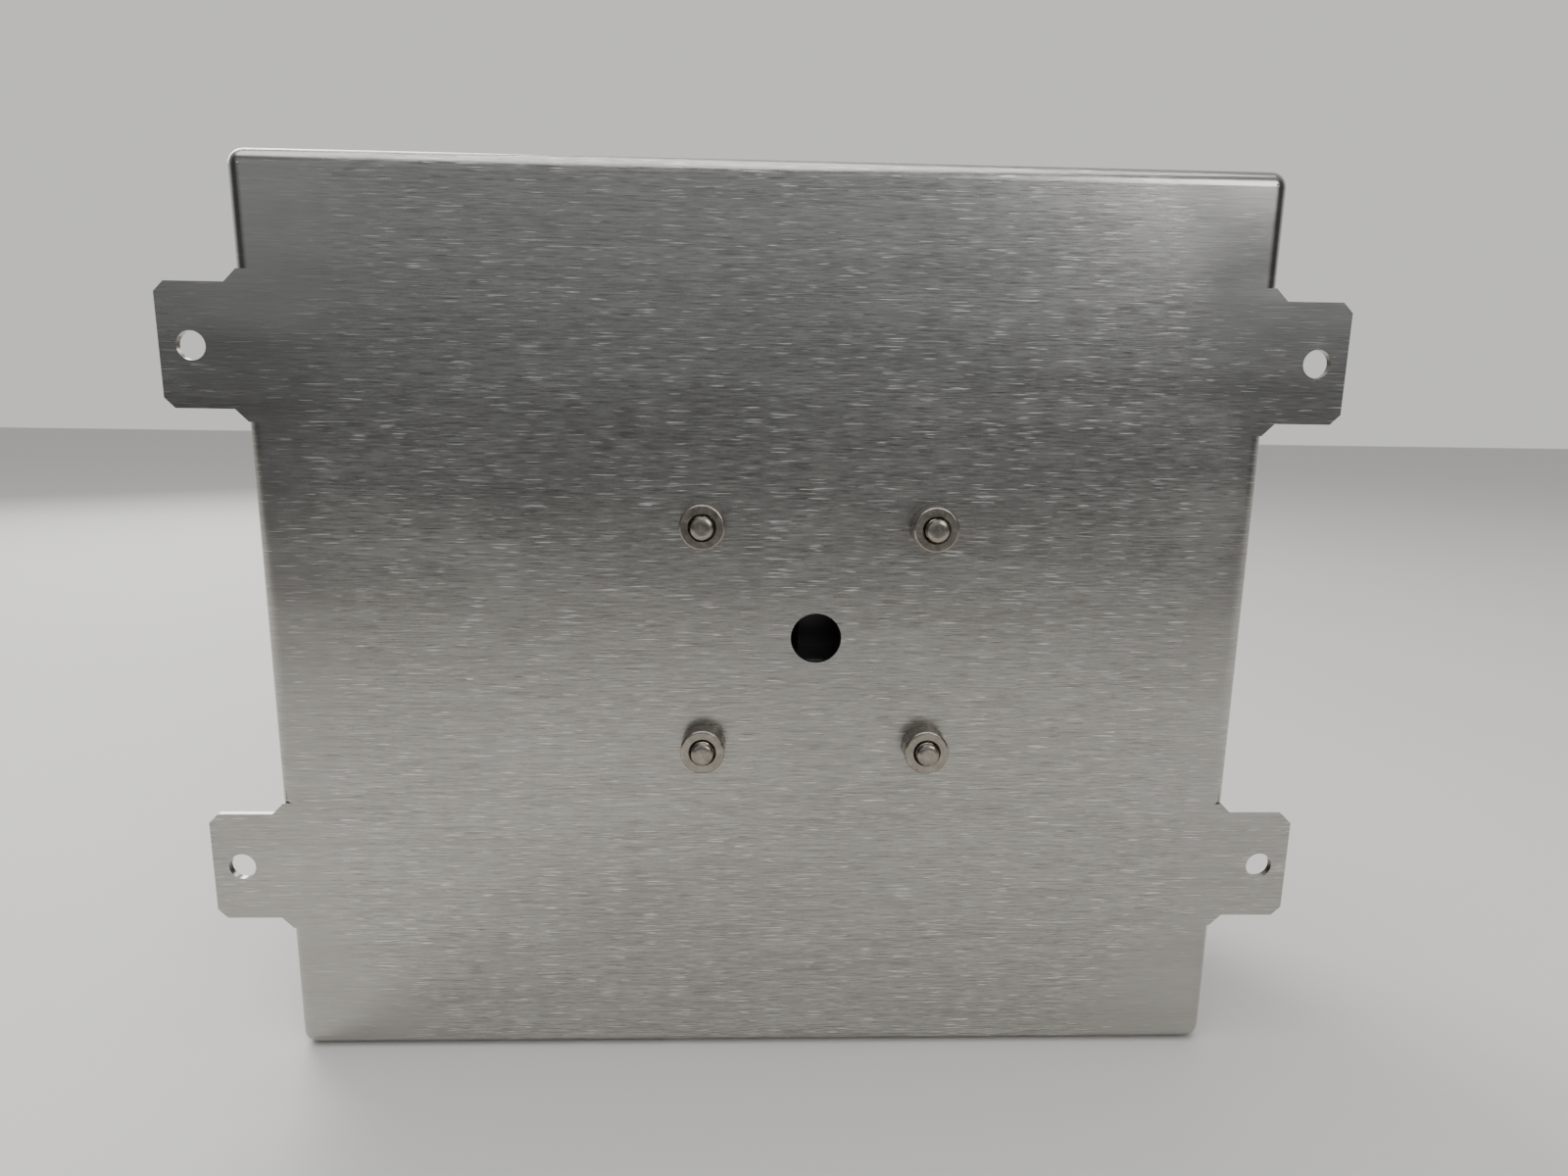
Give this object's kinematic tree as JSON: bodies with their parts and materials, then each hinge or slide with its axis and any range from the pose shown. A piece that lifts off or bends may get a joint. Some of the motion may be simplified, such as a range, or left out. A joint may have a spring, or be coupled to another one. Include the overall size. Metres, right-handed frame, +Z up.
{
  "type": "pedestrian push button",
  "caption": "Pedestrian push button station in a folded steel housing with mounting ears, a domed button, an indicator lamp and an arrow plate.",
  "frame": {"origin": "middle of the four ear holes, in the plane of the housing's flat back", "axes": "+Z up; +X to the right for someone facing the button; +Y out of the flat back, towards the wall or pole bracket"},
  "size_m": [0.1994, 0.0795, 0.161],
  "materials": {
    "housing_steel": "bare sheet steel with a fine horizontal brushed grain and polished welds",
    "bright_hardware": "nickel-plated steel, semi-bright",
    "stainless_screws": "stainless steel, semi-bright",
    "cover_paint": "traffic-yellow powder coat on sheet steel",
    "bezel_paint": "black powder coat on cast metal, fine texture",
    "button_steel": "stainless steel, spun and brushed round its axis",
    "black_rubber": "black seal rubber",
    "black_nylon": "black glass-filled nylon",
    "white_nylon": "natural nylon",
    "switch_plastic": "moulded phenolic switch case",
    "bearing_bronze": "sintered bronze",
    "contact_brass": "tinned brass",
    "spring_steel": "drawn spring wire and strip",
    "zinc_steel": "zinc-plated steel",
    "guide_casting": "die-cast alloy, as cast",
    "lamp_chrome": "bright-plated ring",
    "lamp_lens": "red translucent polycarbonate",
    "board_green": "circuit board",
    "led_clear": "clear epoxy",
    "plate_black": "black anodised sheet",
    "arrow_white": "white enamel",
    "lead_red": "PVC wire insulation",
    "lead_black": "PVC wire insulation",
    "block_grey": "moulded polyamide terminal block"
  },
  "bodies": {
    "housing": {"rear_housing": "housing_steel", "clinch_nuts": "bright_hardware", "mechanism_screws": "bright_hardware", "mechanism_lock_washers": "zinc_steel", "carrier_plate": "black_nylon", "switch_bracket": "zinc_steel", "bracket_screws": "zinc_steel", "switch_case": "switch_plastic", "switch_terminals": "contact_brass", "switch_screws": "zinc_steel", "switch_nuts": "zinc_steel", "lever_hinge_pin": "spring_steel", "terminal_block": "block_grey", "terminal_clamp_screws": "zinc_steel", "terminal_block_screws": "zinc_steel", "earth_stud": "bright_hardware", "earth_washers": "contact_brass", "earth_nuts": "contact_brass", "front_cover": "cover_paint", "cover_gasket": "black_rubber", "cover_spacers": "zinc_steel", "cover_clinch_nuts": "bright_hardware", "cover_screws": "stainless_screws", "bezel": "bezel_paint", "bezel_gasket": "black_rubber", "bezel_screws": "stainless_screws", "button_seal": "black_rubber", "guide_plate": "guide_casting", "guide_bush": "bearing_bronze", "return_spring": "spring_steel", "indicator_bezel": "lamp_chrome", "indicator_lens": "lamp_lens", "indicator_gasket": "black_rubber", "indicator_nut": "lamp_chrome", "led_board": "board_green", "leds": "led_clear", "indicator_plug": "black_nylon", "arrow_plate": "plate_black", "direction_arrow": "arrow_white", "arrow_plate_rivets": "stainless_screws", "switch_leads": "lead_black", "lamp_leads": "lead_red"},
    "button": {"button_cap": "button_steel", "button_stem": "button_steel", "stem_clip": "spring_steel", "striker": "white_nylon"},
    "switch_lever": {"switch_lever": "spring_steel", "roller_axle": "spring_steel"},
    "lever_roller": {"lever_roller": "white_nylon"},
    "switch_pin": {"switch_pin": "white_nylon"}
  },
  "joints": [
    {"name": "button_press", "type": "slide", "parent": "housing", "child": "button", "axis": [0, 1, 0], "range_m": [0, 0.004], "stiffness_N_per_m": 1500, "springref_m": -0.004, "deforming": ["return_spring"]},
    {"name": "lever_turn", "type": "hinge", "parent": "housing", "child": "switch_lever", "pos_m": [-0.0316, -0.0313, -0.0026], "axis": [0, 0, 1], "range_deg": [0, 10.5]},
    {"name": "roller_turn", "type": "hinge", "parent": "switch_lever", "child": "lever_roller", "pos_m": [-0.0096, -0.0368, -0.0026], "axis": [0, 0, -1], "range_deg": [0, 26]},
    {"name": "switch_pin_slide", "type": "slide", "parent": "housing", "child": "switch_pin", "axis": [0, 1, 0], "range_m": [0, 0.0013]}
  ],
  "couplings": [
    {"joint": "lever_turn", "follows": "button_press", "rad_per_m": 44.696},
    {"joint": "roller_turn", "follows": "button_press", "rad_per_m": 110.05},
    {"joint": "switch_pin_slide", "follows": "button_press", "ratio": 0.3215}
  ]
}
